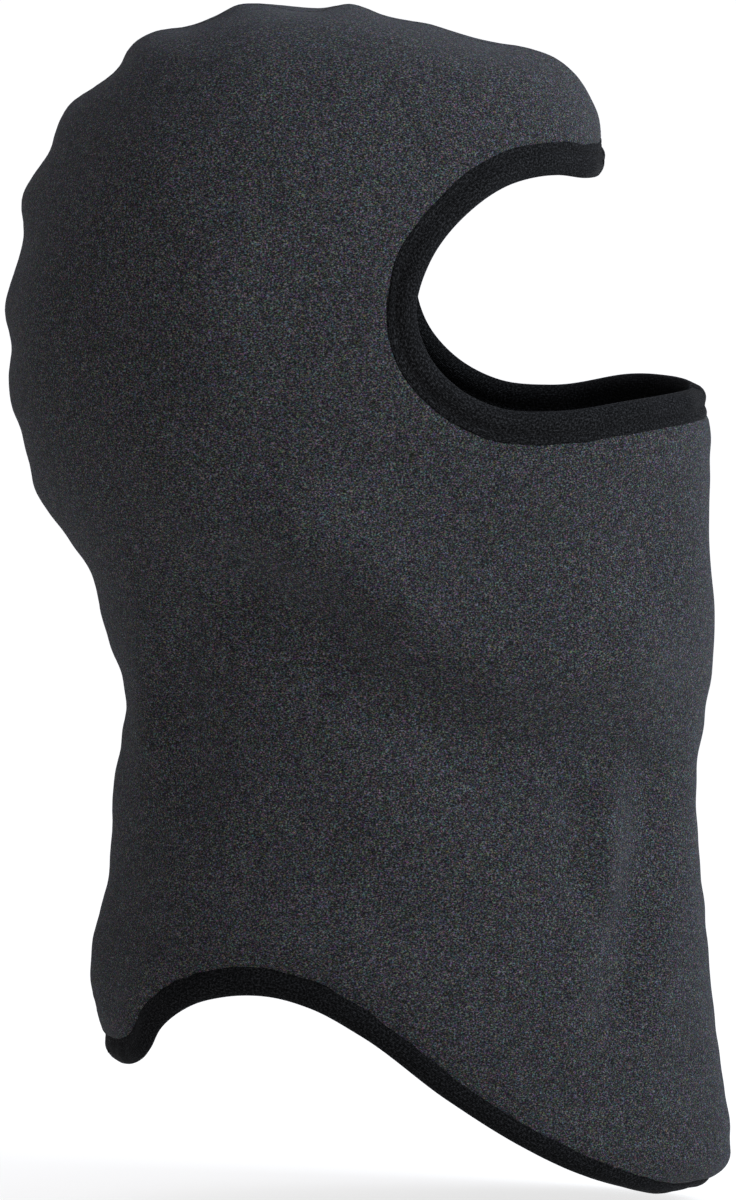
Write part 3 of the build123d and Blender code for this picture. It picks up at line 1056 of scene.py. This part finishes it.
def back_places(x, z):
    """3-D points of the right side's plain surface behind its widest place, x by z."""
    y = np.linspace(0.0, 0.110, 600)
    columns = []
    for height in z:
        width = np.sqrt(np.maximum(square_width(y, np.full_like(y, height)), 0))
        depth = np.interp(-x, width[::-1], y[::-1])
        columns.append(np.stack([x, depth, np.full_like(x, height)], axis=-1))
    return np.stack(columns, axis=1)


def care_label():
    """Blank satin ribbon folded in two against the right panel, its ends caught in the back seam."""
    low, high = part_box("care_label")
    caught = -PRESSED - 0.0001
    turn = 0.0007
    reach = low[0] + turn - caught
    rest = FLEECE + 0.0004
    there = np.linspace(0, 1, 30)
    back = there[::-1]
    round_fold = np.linspace(0, math.pi, 12)[1:-1]
    folded_end = low[0] + turn * (1 - np.sin(round_fold))
    x = np.concatenate([caught + reach * there, folded_end, caught + reach * back])
    under = rest + LABEL_LIFT * there ** 2
    fold = rest + LABEL_LIFT + turn * (1 - np.cos(round_fold))
    gap = 0.0006 + (2 * turn - 0.0006) * back + 0.0005 * np.sin(math.pi * back)
    path = np.stack([x, np.concatenate([under, fold, rest + LABEL_LIFT * back ** 2 + gap])], axis=-1)
    tangent = unit(np.gradient(path, axis=0))
    normal = np.stack([tangent[:, 1], -tangent[:, 0]], axis=-1)
    z = np.linspace(low[2], high[2], 25)
    across = np.linspace(-0.5, 0.5, len(z))
    cupped = LABEL_CUP * np.cos(math.pi * across)[None] * ((caught - path[:, :1]) / -reach)
    layers = []
    for sign in (0.5, -0.5):
        line = path + normal * LABEL_THICKNESS * sign
        layers.append(Surface(back_places(line[:, 0], z)).raised(-1, -line[:, 1:] - cupped))
    vertices, faces = shell(*layers, flip=True)
    run = lengths(path)
    width = z[-1] - z[0]
    cloth = np.zeros((2, len(run), len(z), 3))
    cloth[..., 0] = across * width
    cloth[..., 1] = run[:, None]
    piece = make_piece("blank_care_label", vertices, faces, LABEL_SATIN, cloth.reshape(-1, 3))
    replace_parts(piece, "care_label")
    return piece, width, run[-1]


# ---------------------------------------------------------------- the object

panel_surface = Surface(panel_net())
face_side = Strip(FACE, from_hem=False)
hem_side = Strip(HEM, from_hem=True)
panels = [side_panel(name, panel_surface) for name in SIDES]
folded = [
    binding("face_jersey_binding", "face_binding", face_side, FACE_HALF, FACE_JERSEY, seed=40),
    binding("hem_jersey_binding", "hem_binding", hem_side, HEM_HALF, HEM_JERSEY_PAINTED_SHADE, seed=50),
]
stitching("face_binding_stitches", "face_binding_stitching", face_side)
stitching("hem_binding_stitches", "hem_binding_stitching", hem_side)
overlock("crown_seam_thread", "crown_seam_overlock", panel_surface, 0)
overlock("front_seam_thread", "front_seam_overlock", panel_surface, -1)
bar_tack("brow_bar_tack", "brow_tack", face_side)
bar_tack("nape_bar_tack", "nape_tack", hem_side)
folded.append(care_label())


# ---------------------------------------------------------------- floor, lights and camera

FLOOR_DROP = 0.004  # from the lowest point of the CAD part down to the floor
VIEW_HEIGHT = 0.384  # what the camera takes in, top to bottom
VIEW_CENTRE = (0.0, -0.0186, -0.0963)
VIEW_ELEVATION = math.radians(4.5)
CAMERA_DISTANCE = 9.0
SENSOR = 36.0


def aimed(name, data, position):
    """An object at a position, facing the middle of the view."""
    thing = bpy.data.objects.new(name, data)
    thing.location = position
    thing.rotation_mode = "QUATERNION"
    thing.rotation_quaternion = (Vector(VIEW_CENTRE) - Vector(position)).to_track_quat("-Z", "Y")
    bpy.context.scene.collection.objects.link(thing)
    return thing


def add_camera():
    """Long lens level with the neck, looking at the wearer's right side from a little above."""
    data = bpy.data.cameras.new("camera")
    data.sensor_width = SENSOR
    data.lens = SENSOR * CAMERA_DISTANCE / VIEW_HEIGHT
    data.clip_end = 200.0
    x = -CAMERA_DISTANCE * math.cos(VIEW_ELEVATION)
    z = CAMERA_DISTANCE * math.sin(VIEW_ELEVATION)
    position = (x, VIEW_CENTRE[1], VIEW_CENTRE[2] + z)
    bpy.context.scene.camera = aimed("camera", data, position)


def add_softbox(name, position, size, power, colour):
    """Rectangular lamp that faces the object."""
    data = bpy.data.lights.new(name, "AREA")
    data.shape = "RECTANGLE"
    data.size, data.size_y = size
    data.energy = power
    data.color = colour
    aimed(name, data, position)


def add_floor(z):
    """Plain pale floor that runs past the edges of every view."""
    mesh = bpy.data.meshes.new("floor")
    half = 60.0
    corners = [(-half, -half, z), (half, -half, z), (half, half, z), (-half, half, z)]
    mesh.from_pydata(corners, [], [(0, 1, 2, 3)])
    mesh.materials.append(floor_material())
    floor = bpy.data.objects.new("floor", mesh)
    bpy.context.scene.collection.objects.link(floor)


# The surrounding light: towards where it is strongest, its strengths and its tones
BRIGHT_SIDE = (-0.13, -0.80, 0.59)
BRIGHT_LIGHT = 1.35
DIM_LIGHT = 0.10
BRIGHT_TONE = (0.88, 0.96, 1.12, 1.0)
DIM_TONE = (1.20, 0.96, 0.74, 1.0)
KEY_PLACE = (-0.42, -0.74, 0.36)
KEY_SIZE = (0.4, 0.4)
KEY_POWER = 8.0
KEY_TONE = (0.88, 0.95, 1.0)
DIM_FROM = -0.6  # cosine of the angle to BRIGHT_SIDE where the light has faded to its weakest


def add_world():
    """Soft light from all round, strongest from the front right and above, and a white surround."""
    world = bpy.data.worlds.new("studio")
    world.use_nodes = True
    n = Nodes(world.node_tree)
    heading = n.add("ShaderNodeTexCoord")
    dot = n.add("ShaderNodeVectorMath", operation="DOT_PRODUCT")
    dot.inputs[1].default_value = Vector(BRIGHT_SIDE).normalized()
    n.link(heading.outputs["Generated"], dot.inputs[0])
    towards = dot.outputs["Value"]
    level = n.spread(towards, DIM_FROM, 1.0, DIM_LIGHT, BRIGHT_LIGHT)
    level.node.interpolation_type = "SMOOTHSTEP"
    tone = n.mix("MIX", n.spread(towards, -1.0, 1.0, 0.0, 1.0), DIM_TONE, BRIGHT_TONE)
    light = n.add("ShaderNodeBackground")
    n.link(tone, light.inputs["Color"])
    n.link(level, light.inputs["Strength"])
    surround = n.add("ShaderNodeBackground")
    surround.inputs["Color"].default_value = (1.0, 1.0, 1.0, 1.0)
    seen = n.add("ShaderNodeLightPath").outputs["Is Camera Ray"]
    both = n.add("ShaderNodeMixShader")
    for source, socket in zip((seen, light.outputs[0], surround.outputs[0]), both.inputs):
        n.link(source, socket)
    n.link(both.outputs["Shader"], n.add("ShaderNodeOutputWorld").inputs["Surface"])
    bpy.context.scene.world = world


add_floor(CAD_BOX[0][2] - FLOOR_DROP)
add_world()
add_softbox("key", KEY_PLACE, KEY_SIZE, KEY_POWER, KEY_TONE)
add_camera()
bpy.context.scene.view_settings.view_transform = "Standard"
